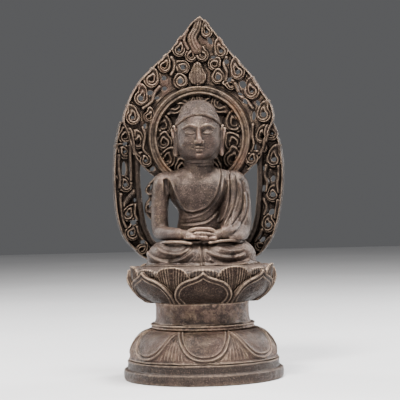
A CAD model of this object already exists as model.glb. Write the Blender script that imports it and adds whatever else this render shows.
"""Looks of the seated bronze figure, its lotus pedestal and its pierced mandorla.

Each casting is sculpted as a distance field on a fine grid, in millimetres, and turned into a mesh.
Levels and sizes come from the CAD frame; +Z is up and the front faces -Y.
"""

import math

import bpy
import numpy as np
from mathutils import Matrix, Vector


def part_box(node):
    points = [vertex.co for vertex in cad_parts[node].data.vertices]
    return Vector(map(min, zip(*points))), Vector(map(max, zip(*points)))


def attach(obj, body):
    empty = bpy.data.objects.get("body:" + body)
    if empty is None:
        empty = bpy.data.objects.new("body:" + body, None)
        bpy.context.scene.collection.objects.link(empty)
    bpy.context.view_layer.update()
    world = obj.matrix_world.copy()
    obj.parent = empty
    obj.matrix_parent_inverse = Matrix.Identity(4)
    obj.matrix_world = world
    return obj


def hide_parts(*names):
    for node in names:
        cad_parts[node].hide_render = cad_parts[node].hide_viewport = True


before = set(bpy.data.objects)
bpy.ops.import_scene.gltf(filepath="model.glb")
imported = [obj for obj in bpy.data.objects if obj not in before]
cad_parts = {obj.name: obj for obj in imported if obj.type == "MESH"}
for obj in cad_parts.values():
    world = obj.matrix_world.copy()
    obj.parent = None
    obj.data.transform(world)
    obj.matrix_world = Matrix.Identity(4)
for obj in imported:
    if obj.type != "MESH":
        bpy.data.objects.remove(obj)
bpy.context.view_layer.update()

import openvdb
from mathutils import Quaternion, Vector

MM = 0.001


# ---------------------------------------------------------------- levels from the frame, in mm

def top(node):
    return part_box(node)[1].z / MM


def width(node):
    lo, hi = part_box(node)
    return (hi.x - lo.x) / MM


PLINTH_R = width("plinth") / 2
PLINTH_Z = top("plinth")
DOME_Z = top("lower_lotus")
COLLAR_Z = top("waist_collar")
DRUM_Z = top("waist_drum")
PLATE_Z = top("lotus_bowl")
SEAT_Z = top("seat_plate")
SEAT_R = width("seat_plate") / 2
LAP_Z = top("legs")
NECK_Z = top("torso")
HAND_Z = top("hands")
MANDORLA_Z = top("head_nimbus")
PLATE_BACK_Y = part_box("body_nimbus")[1].y / MM
DOME_R = width("lower_lotus") / 2
PETAL_R = width("outer_petals") / 2
DRUM_R = 38.0
DOME_PETAL_W = 20.6
LEAF_W, LEAF_Z = 15.5, 82
PETALS = 7
HALF_PITCH = math.pi / PETALS
PLATE_CURVE_R = 245.0
PLATE_T = 4.0
PLATE_Y = PLATE_BACK_Y - PLATE_T / 2


# ---------------------------------------------------------------- distance field tools

def smooth_min(a, b, k):
    if k <= 0:
        return np.minimum(a, b)
    h = np.clip(0.5 + 0.5 * (b - a) / k, 0, 1)
    return b * (1 - h) + a * h - k * h * (1 - h)


def smooth_max(a, b, k):
    return -smooth_min(-a, -b, k)


def ramp(x, x0, x1):
    t = np.clip((x - x0) / (x1 - x0), 0, 1)
    return t * t * (3 - 2 * t)


def bump(s, w):
    """A rounded ridge of height 1 and half-width w along s = 0."""
    return np.exp(-(s / w) ** 2)


def curve(points, steps=6):
    """A smooth line through the points (Catmull-Rom), as an array."""
    p = np.array(points, float)
    out = []
    for i in range(len(p) - 1):
        a, b, c, d = p[max(i - 1, 0)], p[i], p[i + 1], p[min(i + 2, len(p) - 1)]
        for t in np.linspace(0, 1, steps, endpoint=False):
            out.append(0.5 * (2 * b + (c - a) * t + (2 * a - 5 * b + 4 * c - d) * t * t
                              + (3 * b - a - 3 * c + d) * t ** 3))
    return np.array(out + [p[-1]])


def line_distance(x, z, path):
    """Distance to a flat path, signed by side, and how far along it the nearest point lies (0 to 1)."""
    best = np.full(np.broadcast(x, z).shape, 1e6, np.float32)
    side = np.ones_like(best)
    along = np.zeros_like(best)
    n = len(path) - 1
    for i in range(n):
        (ax, az), (bx, bz) = path[i], path[i + 1]
        ex, ez = bx - ax, bz - az
        h = np.clip(((x - ax) * ex + (z - az) * ez) / (ex * ex + ez * ez + 1e-9), 0, 1)
        dx, dz = x - ax - h * ex, z - az - h * ez
        d2 = dx * dx + dz * dz
        near = d2 < best
        best = np.where(near, d2, best)
        side = np.where(near, np.sign(ex * dz - ez * dx), side)
        along = np.where(near, (i + h) / n, along)
    return np.sqrt(best) * side, along


def outline_distance(x, z, loop):
    """Signed distance to a closed outline, negative inside."""
    dist, _ = line_distance(x, z, np.vstack([loop, loop[:1]]))
    inside = np.zeros(dist.shape, bool)
    for (ax, az), (bx, bz) in zip(loop, np.roll(loop, -1, axis=0)):
        if az != bz:
            cross = ax + (z - az) * (bx - ax) / (bz - az)
            inside ^= ((az > z) != (bz > z)) & (x < cross)
    return np.where(inside, -np.abs(dist), np.abs(dist))


def upsample(rng, shape, cell):
    """Smooth random lumps of about cell grid steps, mean 0 and spread about 1."""
    small = rng.standard_normal([int(n / cell) + 4 for n in shape]).astype(np.float32)
    for axis, n in enumerate(shape):
        t = np.arange(n) / cell
        i = t.astype(int)
        f = (t - i).astype(np.float32)
        w = [(1 - f) ** 3 / 6, (3 * f ** 3 - 6 * f ** 2 + 4) / 6,
             (-3 * f ** 3 + 3 * f ** 2 + 3 * f + 1) / 6, f ** 3 / 6]
        dims = [1] * len(shape)
        dims[axis] = n
        small = sum(np.take(small, i + j, axis=axis) * w[j].reshape(dims) for j in range(4))
    return small * 1.9


def box_blur(a, n):
    """Mean over a cube of 2n+1 grid steps."""
    for axis in range(3):
        pad = [(0, 0)] * 3
        pad[axis] = (n + 1, n)
        c = np.cumsum(np.pad(a, pad, mode="edge"), axis=axis, dtype=np.float32)
        size = a.shape[axis]
        a = (np.take(c, range(2 * n + 1, 2 * n + 1 + size), axis=axis)
             - np.take(c, range(0, size), axis=axis)) / (2 * n + 1)
    return a


def sample(volume, at):
    """Values of a volume at grid positions, by linear interpolation."""
    at = np.clip(at, 0, np.array(volume.shape) - 1.001)
    i = at.astype(int)
    f = at - i
    out = 0
    for dx in (0, 1):
        for dy in (0, 1):
            for dz in (0, 1):
                w = (np.where(dx, f[:, 0], 1 - f[:, 0]) * np.where(dy, f[:, 1], 1 - f[:, 1])
                     * np.where(dz, f[:, 2], 1 - f[:, 2]))
                out = out + w * volume[i[:, 0] + dx, i[:, 1] + dy, i[:, 2] + dz]
    return out


class Clay:
    """A block of space on a grid. d is the distance to the surface, negative inside."""

    def __init__(self, lo, hi, step):
        self.lo, self.step = np.array(lo, float), step
        self.n = [int(math.ceil((b - a) / step)) + 1 for a, b in zip(lo, hi)]
        axes = [(a + step * np.arange(k)).astype(np.float32) for a, k in zip(lo, self.n)]
        self.x, self.y, self.z = axes[0][:, None, None], axes[1][None, :, None], axes[2][None, None, :]
        self.d = np.full(self.n, 50, np.float32)
        self.whole = None

    def window(self, lo, hi):
        cut = []
        for a, b, o, k in zip(lo, hi, self.lo, self.n):
            i = max(0, int((a - o) / self.step))
            cut.append(slice(i, max(i, min(k, int((b - o) / self.step) + 2))))
        return tuple(cut)

    def use(self, shapes, k, how):
        """Joins a shape or a list of them; a shape is (low corner, high corner, distance function)."""
        for lo, hi, f in shapes if isinstance(shapes, list) else [shapes]:
            w = self.window([a - k - 1 for a in lo], [a + k + 1 for a in hi])
            if all(s.stop > s.start for s in w):
                value = f(self.x[w[0]], self.y[:, w[1]], self.z[:, :, w[2]])
                self.d[w] = how(self.d[w], value, k)

    def add(self, shape, k=0.0):
        self.use(shape, k, smooth_min)

    def carve(self, shape, k=0.0):
        self.use(shape, k, lambda d, s, soft: smooth_max(d, -s, soft))

    def level(self, low, high):
        """Cuts the clay flat below and above."""
        self.d = np.maximum(self.d, np.maximum(low - self.z, self.z - high))

    def field(self, shape):
        """Distance to a shape all over the block."""
        return shape[2](self.x, self.y, self.z)

    def trim(self, limit):
        """Cuts the clay off at a seam; its tone is still read from the whole form."""
        self.whole = self.d
        self.d = np.maximum(self.d, limit)

    def grain(self, rng, coarse=0.10, fine=0.05):
        """The soft unevenness of a casting."""
        self.d += coarse * upsample(rng, self.n, 4.5 / self.step)
        self.d += fine * upsample(rng, self.n, 1.5 / self.step)


def ball(c, r):
    """An ellipsoid; r is one radius or three."""
    r = np.array([r] * 3 if np.isscalar(r) else r, float)
    c = np.array(c, float)

    def f(x, y, z):
        ux, uy, uz = (x - c[0]) / r[0], (y - c[1]) / r[1], (z - c[2]) / r[2]
        k0 = np.sqrt(ux * ux + uy * uy + uz * uz)
        k1 = np.sqrt((ux / r[0]) ** 2 + (uy / r[1]) ** 2 + (uz / r[2]) ** 2)
        return k0 * (k0 - 1) / np.maximum(k1, 1e-4)
    return c - r, c + r, f


def rod(a, b, ra, rb=None, flat=(1, 1, 1)):
    """A round-ended rod from a to b whose radius goes from ra to rb, stretched by flat."""
    rb = ra if rb is None else rb
    a, b, flat = np.array(a, float), np.array(b, float), np.array(flat, float)
    ab = (b - a) / flat
    size = max(ra, rb) * flat

    def f(x, y, z):
        px, py, pz = (x - a[0]) / flat[0], (y - a[1]) / flat[1], (z - a[2]) / flat[2]
        h = np.clip((px * ab[0] + py * ab[1] + pz * ab[2]) / (ab @ ab + 1e-9), 0, 1)
        d = np.sqrt((px - h * ab[0]) ** 2 + (py - h * ab[1]) ** 2 + (pz - h * ab[2]) ** 2)
        return (d - ra - (rb - ra) * h) * float(flat.min())
    return np.minimum(a, b) - size, np.maximum(a, b) + size, f


def tube(points, r0, r1=None, steps=4, flat=(1, 1, 1)):
    """A rod along a smooth curve, as a list of shapes."""
    path = curve(points, steps)
    r1 = r0 if r1 is None else r1
    radii = np.linspace(r0, r1, len(path))
    return [rod(path[i], path[i + 1], radii[i], radii[i + 1], flat) for i in range(len(path) - 1)]


def on(side, points):
    """Points given for the figure's left, or mirrored to its right where side is -1."""
    return np.array(points, float) * (side, 1, 1)


def block(lo, hi):
    """A box."""
    c, h = (np.array(lo) + hi) / 2, (np.array(hi, float) - lo) / 2

    def f(x, y, z):
        return np.maximum(np.maximum(abs(x - c[0]) - h[0], abs(y - c[1]) - h[1]), abs(z - c[2]) - h[2])
    return np.array(lo, float), np.array(hi, float), f


# ---------------------------------------------------------------- from clay to a piece

PIECES = {}
ROOM_STEP = 1.2
ROOM_LO = np.array([-80.0, -72.0, -6.0])
ROOM = np.zeros([int(v / ROOM_STEP) for v in (160, 144, 312)], np.float32)


def note(mesh, key, values):
    """Writes one number per point."""
    mesh.attributes.new(key, "FLOAT", "POINT").data.foreach_set("value", values.astype(np.float32))


def per_point(mesh, key):
    """The places or normals of the points, as rows."""
    out = np.zeros(len(mesh.vertices) * 3, np.float32)
    mesh.vertices.foreach_get(key, out)
    return out.reshape(-1, 3)


def mesh_piece(name, verts, tris, quads, values, body, stands_for):
    mesh = bpy.data.meshes.new(name)
    n = len(verts)
    mesh.vertices.add(n)
    mesh.vertices.foreach_set("co", (verts * MM).astype(np.float32).ravel())
    corners = np.concatenate([tris.ravel(), quads.ravel()]).astype(np.int32)
    sizes = np.concatenate([np.full(len(tris), 3), np.full(len(quads), 4)]).astype(np.int32)
    mesh.loops.add(len(corners))
    mesh.loops.foreach_set("vertex_index", corners)
    mesh.polygons.add(len(sizes))
    starts = np.concatenate([[0], np.cumsum(sizes)[:-1]]).astype(np.int32)
    mesh.polygons.foreach_set("loop_start", starts)
    mesh.polygons.foreach_set("use_smooth", np.ones(len(sizes), bool))
    for key, value in values.items():
        note(mesh, key, value)
    mesh.update(calc_edges=True)
    piece = bpy.data.objects.new(name, mesh)
    bpy.context.collection.objects.link(piece)
    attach(piece, body)
    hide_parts(stands_for)
    PIECES[name] = piece


def cast(node, clay, body="statue", bend=None, name=None):
    """Turns clay into a closed mesh piece in place of a CAD node, with its hollows and edges noted."""
    d = clay.d
    for axis in range(3):
        for end in (0, -1):
            face = [slice(None)] * 3
            face[axis] = end
            d[tuple(face)] = np.maximum(d[tuple(face)], clay.step)
    grid = openvdb.FloatGrid()
    grid.copyFromArray(np.ascontiguousarray(np.clip(d, -3 * clay.step, 3 * clay.step)))
    at, tris, quads = grid.convertToPolygons(isovalue=0.0, adaptivity=0.0)
    solid = np.clip(0.5 - d / clay.step, 0, 1).astype(np.float32)
    whole = solid if clay.whole is None else np.clip(0.5 - clay.whole / clay.step, 0, 1).astype(np.float32)
    near = sample(box_blur(whole, max(1, round(0.9 / clay.step))), at)
    wide = sample(box_blur(whole, max(2, round(2.4 / clay.step))), at)
    verts = at * clay.step + clay.lo
    low = np.zeros(len(verts))
    if bend is not None:
        low = ramp(verts[:, 1], 0.7, 1.3) * ramp(verts[:, 1], 4.0, 2.6)
        verts = bend(verts)
    tris, quads = tris[:, ::-1], quads[:, ::-1]
    note_solid(clay, solid, bend)
    values = {"edge": np.clip((0.5 - near) * 4, -1, 1), "hollow": np.clip((wide - 0.5) * 4 + low, -1, 1)}
    mesh_piece((name or node) + "_casting", verts, tris, quads, values, body, node)


def note_solid(clay, solid, bend):
    """Marks the cells of the room that the clay fills, for the shade between pieces."""
    s = max(1, int(ROOM_STEP / clay.step / 1.5))
    part = solid[::s, ::s, ::s]
    i = np.argwhere(part > 0.5)
    at = i * (clay.step * s) + clay.lo
    if bend is not None:
        at = bend(at)
    cell = ((at - ROOM_LO) / ROOM_STEP).astype(int)
    ok = np.all((cell >= 0) & (cell < np.array(ROOM.shape)), axis=1)
    ROOM[tuple(cell[ok].T)] = 1


def shade_pieces():
    """Writes how closed in each point is, from all the pieces together."""
    shut = 0.6 * box_blur(ROOM, 3) + 0.4 * box_blur(ROOM, 7)
    for piece in PIECES.values():
        ahead = per_point(piece.data, "co") / MM + 3.0 * per_point(piece.data, "normal")
        value = sample(shut, (ahead - ROOM_LO) / ROOM_STEP - 0.5)
        note(piece.data, "shade", np.clip(value * 1.8 - 0.45, 0, 1))


# ---------------------------------------------------------------- pedestal

def radius(clay):
    return np.sqrt(clay.x ** 2 + clay.y ** 2)


def petal_angle(clay, offset):
    """Angle from the middle of the nearest petal; offset turns the row."""
    return (np.arctan2(clay.x, -clay.y) - offset + HALF_PITCH) % (2 * HALF_PITCH) - HALF_PITCH


def turned_block(r, z0, z1, step):
    """Clay for a turned casting between two levels."""
    return Clay([-r, -r, z0], [r, r, z1], step)


def profile(clay, points):
    """Distance to a turned shape whose half outline is points (radius, height)."""
    r = radius(clay)
    table_r = np.arange(0, 80, clay.step / 2, dtype=np.float32)[:, None]
    table = outline_distance(table_r, clay.z[0, 0][None, :], np.array(points, float)).astype(np.float32)
    i = np.clip(r[:, :, 0] / (clay.step / 2), 0, len(table) - 2)
    low = i.astype(int)
    f = (i - low)[:, :, None]
    return table[low] * (1 - f) + table[low + 1] * f


def make_plinth(rng):
    clay = turned_block(PLINTH_R + 3, -2, PLINTH_Z + 2, 0.6)
    step_z = PLINTH_Z * 0.56
    clay.d = profile(clay, [
        [PLINTH_R - 7, 0], [PLINTH_R - 1.2, 0], [PLINTH_R - 0.2, 1.4], [PLINTH_R, 4.5],
        [PLINTH_R - 0.4, step_z - 1], [PLINTH_R - 1.6, step_z], [PLINTH_R - 3.2, step_z + 0.3],
        [PLINTH_R - 3.6, PLINTH_Z - 2.2], [PLINTH_R - 3.0, PLINTH_Z - 0.9], [PLINTH_R - 4.2, PLINTH_Z],
        [47, PLINTH_Z], [47, 13], [54, 13], [54, 3], [PLINTH_R - 7, 3]])
    worn = upsample(rng, clay.n, 14 / clay.step)
    clay.d += 0.3 * np.abs(worn) * ramp(clay.z, 0.8, 3)
    clay.grain(rng, 0.12, 0.07)
    clay.d = np.maximum(clay.d, -clay.z)
    cast("plinth", clay)


def make_lower_lotus(rng):
    clay = turned_block(DOME_R + 3, PLINTH_Z - 1, DOME_Z + 1, 0.55)
    r = radius(clay)
    z0, h = PLINTH_Z, DOME_Z - PLINTH_Z
    outside = curve([[61.3, 0], [60.8, 0.22 * h], [59.2, 0.44 * h], [55.9, 0.68 * h], [50.8, 0.88 * h],
                     [44.6, h]], 5) + [0, z0]
    # the dome is set back between the petals, which stand proud of it
    local = petal_angle(clay, 0)
    u = r * np.sin(local) + 0 * clay.z
    v = (clay.z - z0) / h
    grow = np.linspace(0, 1, 15) ** 2
    side = np.stack([DOME_PETAL_W * (1 - (1 - grow) ** 2.4) ** 0.44, z0 + h * (0.09 + 0.91 * grow)], 1)
    above = [[DOME_PETAL_W, DOME_Z + 8], [-DOME_PETAL_W, DOME_Z + 8]]
    loop = np.vstack([side, above, (side * [-1, 1])[:0:-1]])
    edge = look_up(flat_table(clay, loop, 32), clay, u)
    inside = ramp(-edge, -0.2, 0.7)
    rim = 1.1 * bump(edge + 1.0, 0.8) - 0.6 * bump(edge + 2.7, 0.7) + 0.8 * bump(edge + 3.9, 0.6)
    height = inside * (1.1 + rim + 0.8 * ramp(-edge, 5, 13))
    between = ramp(edge, 0.2, 1.4)
    spread = petal_angle(clay, HALF_PITCH) * r
    wander = 0.8 * upsample(rng, clay.n, 7 / clay.step)
    fan = np.cos(spread / (0.30 + 0.70 * (1 - v)) * 1.75 + wander) * ramp(v, 0.06, 0.16)
    tip = between * (0.6 + 0.65 * fan * ramp(v, 1.0, 0.7)) - 1.6 * bump(edge - 1.0, 0.9) * ramp(v, 0.10, 0.20)
    tip = tip + 1.2 * ramp(v, 0.10, 0.02)
    clay.d = profile(clay, list(outside) + [[38, DOME_Z], [44, z0 + 0.72 * h], [51, z0 + 0.4 * h],
                                               [55, z0 + 1], [55, z0]])
    front = ramp(r, 0, 1) * ramp(clay.d, -2.6, -1.2)
    clay.d = clay.d + front * (2.2 - height - tip)
    clay.grain(rng, 0.12, 0.07)
    clay.level(z0, DOME_Z)
    cast("lower_lotus", clay)


def make_waist(rng):
    clay = turned_block(48, DOME_Z - 1, COLLAR_Z + 1, 0.5)
    h = COLLAR_Z - DOME_Z
    clay.d = profile(clay, [
        [33, DOME_Z], [42.1, DOME_Z], [41.7, DOME_Z + 0.35 * h], [41.0, DOME_Z + 0.5 * h],
        [42.1, DOME_Z + 0.62 * h], [42.4, DOME_Z + 0.8 * h], [41.9, COLLAR_Z], [33, COLLAR_Z]])
    clay.grain(rng, 0.10, 0.06)
    clay.level(DOME_Z, COLLAR_Z)
    cast("waist_collar", clay)
    clay = turned_block(42, COLLAR_Z - 1, DRUM_Z + 1, 0.55)
    clay.d = profile(clay, [
        [33, COLLAR_Z], [39.6, COLLAR_Z], [38.6, COLLAR_Z + 1.4], [37.9, COLLAR_Z + 4],
        [37.7, DRUM_Z - 4], [38.2, DRUM_Z], [33, DRUM_Z]])
    clay.grain(rng, 0.22, 0.10)
    clay.level(COLLAR_Z, DRUM_Z)
    cast("waist_drum", clay)


def cup_depth(r, z, inset):
    """Distance outside the rounded cup that the petals lie on, set in by inset."""
    a, b = 22.8 - inset, 26.0 - inset
    root, level = DRUM_R + 0.5, DRUM_Z + 26.0
    ur, uz = (r - root) / a, np.minimum(z - level, 0) / b
    k0 = np.sqrt(np.maximum(ur, 0) ** 2 + uz * uz)
    k1 = np.sqrt((np.maximum(ur, 0) / a) ** 2 + (uz / b) ** 2)
    return k0 * (k0 - 1) / np.maximum(k1, 1e-3)


# half outlines of the petals, from the tip to the root
OUTER_PETAL = [[0, 26.4], [2, 24.7], [4.6, 23], [8.4, 21.5], [13, 20], [18, 17.4], [21.4, 13.4], [22.8, 9],
               [22.4, 5], [20.4, 1.5], [18, -1]]
INNER_PETAL = [[0, 30.2], [4, 29.9], [8, 29], [11.5, 27], [14.4, 23.2], [17.6, 18], [20, 12], [21, 5],
               [17, -1]]


def flat_table(clay, loop, reach):
    """Signed distance to a flat outline, looked up by |x| and z."""
    xs = np.arange(0, reach, clay.step / 2, dtype=np.float32)[:, None]
    return outline_distance(xs, clay.z[0, 0][None, :], loop).astype(np.float32)


def look_up(table, clay, u):
    i = np.clip(np.abs(u) / (clay.step / 2), 0, len(table) - 2)
    low = i.astype(int)
    f = i - low
    k = np.arange(table.shape[1])[None, None, :]
    return table[low, k] * (1 - f) + table[low + 1, k] * f


def petal_row(node, rng, half_edge, offset, inset, thick, relief):
    clay = turned_block(PETAL_R + 2, DRUM_Z - 1.5, SEAT_Z + 1, 0.55)
    r = radius(clay)
    local = petal_angle(clay, offset)
    u = r * np.sin(local) + 0 * clay.z
    side = curve(half_edge, 4) + [0, DRUM_Z]
    root = side[-1][0]
    loop = np.vstack([side, [[root, DRUM_Z - 6], [-root, DRUM_Z - 6]], (side * [-1, 1])[::-1]])
    edge = look_up(flat_table(clay, loop, 30), clay, u)
    wedge = (np.abs(local) - HALF_PITCH + 0.006) * r
    edge = smooth_max(edge, wedge + 0 * edge, 0.6)
    skin = cup_depth(r, clay.z, inset)
    shell = smooth_max(skin - relief(clay, u, edge), -(skin + thick), 0.5)
    clay.d = np.maximum(smooth_max(shell, edge, 0.9), DRUM_R + 0.5 - r).astype(np.float32)
    clay.grain(rng, 0.09, 0.05)
    clay.d = np.maximum(clay.d, DRUM_Z - clay.z)
    cast(node, clay)


def outer_relief(clay, u, edge):
    """A raised double border round a sunken panel."""
    v = (clay.z - DRUM_Z) / 26
    border = 0.9 * bump(edge + 0.9, 0.9) - 0.3 * bump(edge + 2.6, 0.7) + 0.45 * bump(edge + 3.9, 0.5)
    panel = -0.9 * ramp(-edge, 4.2, 5.6) + 0.7 * ramp(-edge, 7, 16)
    return border + panel + 0.5 * ramp(v, 0.10, 0.02)


def inner_relief(clay, u, edge):
    """Fine lines that fan out from the root of a petal."""
    v = np.clip((clay.z - DRUM_Z) / 29, 0.05, 1)
    fan = u / (0.5 + 0.5 * v)
    lines = 0.36 * np.cos(fan * 2 * math.pi / 2.5) * ramp(np.abs(u), 0.8, 3.0)
    return lines + 0.35 * ramp(-edge, 1.8, 0.6) - 0.25 - 0.5 * ramp(-edge, 0.2, -0.6)


def make_seat(rng):
    clay = turned_block(SEAT_R + 4, PLATE_Z - 1, SEAT_Z + 1, 0.55)
    r = radius(clay)
    clay.d = profile(clay, [
        [0, PLATE_Z], [SEAT_R - 0.8, PLATE_Z], [SEAT_R, PLATE_Z + 1.5], [SEAT_R, SEAT_Z - 3.6],
        [SEAT_R - 2.0, SEAT_Z - 2.4], [SEAT_R - 6.0, SEAT_Z - 0.8], [SEAT_R - 10, SEAT_Z], [0, SEAT_Z]])
    # a further row of petals in relief on the rim, seen over the tips of the outer ones
    u = r * np.sin(petal_angle(clay, 0)) + 0 * clay.z
    edge = np.sqrt((u / LEAF_W) ** 2 + (np.maximum(clay.z - LEAF_Z, 0) / (SEAT_Z - LEAF_Z - 0.9)) ** 2) - 1
    clay.d = clay.d + 2.2 * ramp(clay.z, 85, 88) * ramp(np.abs(u), 11.5, 15) * ramp(r, SEAT_R - 5, SEAT_R - 2)
    ribs = 0.35 * np.cos(u * 2 * math.pi / 2.6)
    leaf = ramp(edge, 0.04, -0.06) * (2.0 + ribs + 0.3 * bump(edge + 0.16, 0.07))
    clay.d = (clay.d - leaf * ramp(r, SEAT_R - 4, SEAT_R - 2)).astype(np.float32)
    clay.grain(rng, 0.12, 0.07)
    clay.carve(block([-12.3, PLATE_Y - 2.3, PLATE_Z - 2], [12.3, PLATE_Y + 2.3, SEAT_Z + 2]))
    clay.carve(rod([0, 4, PLATE_Z - 3], [0, 4, SEAT_Z + 3], 3.3))
    clay.level(PLATE_Z, SEAT_Z)
    cast("seat_plate", clay)


# ---------------------------------------------------------------- figure

def flat_field(clay, make):
    """A field over x and z, worked out once and repeated through y."""
    return make(clay.x[:, 0, :], clay.z[0, :, :])[:, None, :].astype(np.float32)


def fold(x, z, path, rise, dip, w, ends):
    """A crease with a lip on its left side, fading out at both ends."""
    s, t = line_distance(x, z, curve(path, 5))
    fade = ramp(t, 0, ends) * ramp(t, 1, 1 - ends)
    return fade * (dip * bump(s - 0.5 * w, 0.75 * w) - rise * bump(s + 0.9 * w, 1.3 * w))


NECKLINE = [(-25.7, 164), (-24.6, 160), (-21.4, 151.4), (-17, 141.5), (-12.8, 135.6), (-7.4, 133.9),
            (-1, 135), (5.7, 138.2), (11.9, 145.6), (15.8, 155.8), (17.6, 166), (16, 171)]
BAND = [(-17.5, 130.6), (-10, 130.4), (-3.7, 131.5), (3, 134.2), (8.6, 138.6), (13.4, 144), (17.4, 153),
        (18.9, 165)]
FOLD_B = [(-17, 124.6), (-8, 124.6), (2.6, 125.9), (8, 128.6), (12.6, 132.8), (18.1, 140.9), (21.6, 151),
          (22.4, 160)]
FOLD_C = [(24.3, 166), (24.5, 152.7), (23.1, 140.2), (19.6, 131), (14.6, 124)]
FOLD_D = [(28.9, 165), (29.6, 152), (28.6, 144), (25.4, 134), (18.7, 122)]
FOLD_E = [(33.2, 160), (34.6, 148), (33.6, 137), (29.6, 130), (23, 121.5)]
FOLD_F = [(37.2, 150), (38.2, 140), (36, 130), (31, 122), (24, 116)]


# each fold: path, rise, dip, width, how much of each end fades out
CHEST_FOLDS = [(BAND, 0.55, 0.35, 0.8, 0.06), (FOLD_B, 0.6, 0.9, 1.1, 0.06), (FOLD_C, 0.7, 1.1, 1.2, 0.08),
               (FOLD_D, 0.6, 0.9, 1.2, 0.08)]
SLEEVE_FOLDS = [(FOLD_D, 0.6, 0.9, 1.2, 0.08), (FOLD_E, 0.7, 1.1, 1.2, 0.08), (FOLD_F, 0.6, 0.9, 1.1, 0.08)]
BACK_FOLDS = [([(22, 163 + shift * 0.3), (8 + shift, 146), (-14 + shift, 122)], 0.45, 0.5, 1.1, 0.12)
              for shift in (-16, -7, 2, 11)]
# crescents over the shins, the pleat between them, and the fine pleats that spread from it
SHIN_FOLDS = [(path, 1, 0.8, 1.45, 0.10) for path in (
    [(-44, 106), (-40.4, 100.6), (-34, 97.4), (-27, 96.2), (-17.4, 98.2), (-10.5, 102.6), (-5.4, 108)],
    [(-35, 108.4), (-31.4, 105.2), (-25, 103.4), (-17, 103.6), (-8.8, 108.2)],
    [(1.8, 107.4), (9, 102.6), (17.4, 99.8), (27.8, 99.2), (35, 101.8)],
    [(6.4, 98.8), (11, 95.6), (20.5, 93.4), (29.9, 93.6), (39, 97)])]
PLEATS = [([(12.5, 107.8), (21, 104.8), (29, 104.4), (35, 106)], 0.8, 0.8, 1.2, 0.12),
          ([(0.6, 111), (-0.4, 103), (0.5, 97), (0.2, 92)], 0.6, 1, 0.9, 0.05)]
PLEATS += [([(-0.8, 109), (lean * 0.35, 102), (lean, 94)], 0.25, 0.35, 0.6, 0.2)
           for lean in (-14, -9.5, -5.5, -2.4)]
PLEATS += [([(1.6, 108), (lean * 0.5, 101), (lean, 94)], 0.25, 0.3, 0.6, 0.2) for lean in (3.2, 6.4)]


def folds(x, z, table, start=0):
    """Depth of all the folds in a table; positive is cut in."""
    return sum((fold(x, z, *row) for row in table), start + 0 * x * z)


def robe_relief(x, z):
    """The robe's edge and folds over the chest."""
    inside, _ = line_distance(x, z, curve(NECKLINE, 6))
    robe = 0.9 * ramp(-inside, -0.6, 0.9) - 0.55 * bump(inside - 0.8, 0.8)
    return folds(x, z, CHEST_FOLDS, robe)


def sleeve_relief(x, z):
    return folds(x, z, SLEEVE_FOLDS)


def back_relief(x, z):
    """Long folds over the back, from the left shoulder to the right hip."""
    return folds(x, z, BACK_FOLDS)


def lap_relief(x, z):
    """The folds over the lap and the hem that lies on the seat."""
    hem = z - (SEAT_Z + 2.2 + 0.35 * np.sin(x * 0.55) + 0.2 * np.sin(x * 1.3 + 1))
    lap = folds(x, z, SHIN_FOLDS + PLEATS)
    return lap + 0.75 * ramp(hem, -0.3, 0.6) * ramp(hem, 9, 3) + 0.35 * bump(hem, 0.5)


# where the castings of the figure meet: gap, shoulder, waist and wrist, and how far forward the arms go
SEAM = 0.2
SHOULDER_X, WAIST_X, WRIST_X, LAP_Y = 25, 19, 16, -12
FAR = 60
NECK_Y = 3
NECK = rod([0, 4, 165], [0, 2.4, 185], 12.4, 12)
BODY_GRAIN = (0.08, 0.045)


def body_shapes(clay):
    """Trunk and neck, joined softly."""
    add = clay.add
    add(ball([0, 5, 126], [18, 13.6, 22]))
    add(ball([0, 5, 118], [19.5, 14, 16]), 3)
    add(ball([0, 4.6, 150], [24.8, 15.6, 20]), 5)
    for side in (-1, 1):
        add(rod([side * 9, 4.6, 158], [side * 21, 5, 158.4], 9.6, 8.4, (1, 1.28, 1)), 5)
        add(ball([side * 11.5, -3.6, 152], [10.5, 7.8, 9.5]), 4)
        add(rod([side * 4, 6, 168.2], [side * 25, 5.4, 160.6], 5.2, 5.4, (1, 1.35, 1)), 4)
    add(NECK, 2.2)
    clay.carve(ball([0, -15, 122], [5, 3, 3]), 3)


def right_arm_shapes(clay):
    add = clay.add
    add(ball([-29.2, 5, 157.2], [8.6, 10.4, 10.2]), 2.5)
    add(tube([(-31.2, 5, 154), (-32.6, 4.8, 140), (-33, 3.6, 126), (-32.4, 2.4, 119.6)],
             7.2, 6.4, 3, (1, 1.18, 1)), 1.2)
    add(tube([(-32.6, 2.2, 118.8), (-28.4, -7, 117.6), (-20, -17.5, 117), (-13.6, -23.8, 116.6)],
             6.4, 4.3, 4, (1, 1, 0.93)), 1.2)
    # the deep hollow between the arm and the chest
    clay.carve(rod([-27.8, -3.6, 160], [-24.8, -4.8, 135], 2, 3), 1.2)


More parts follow.
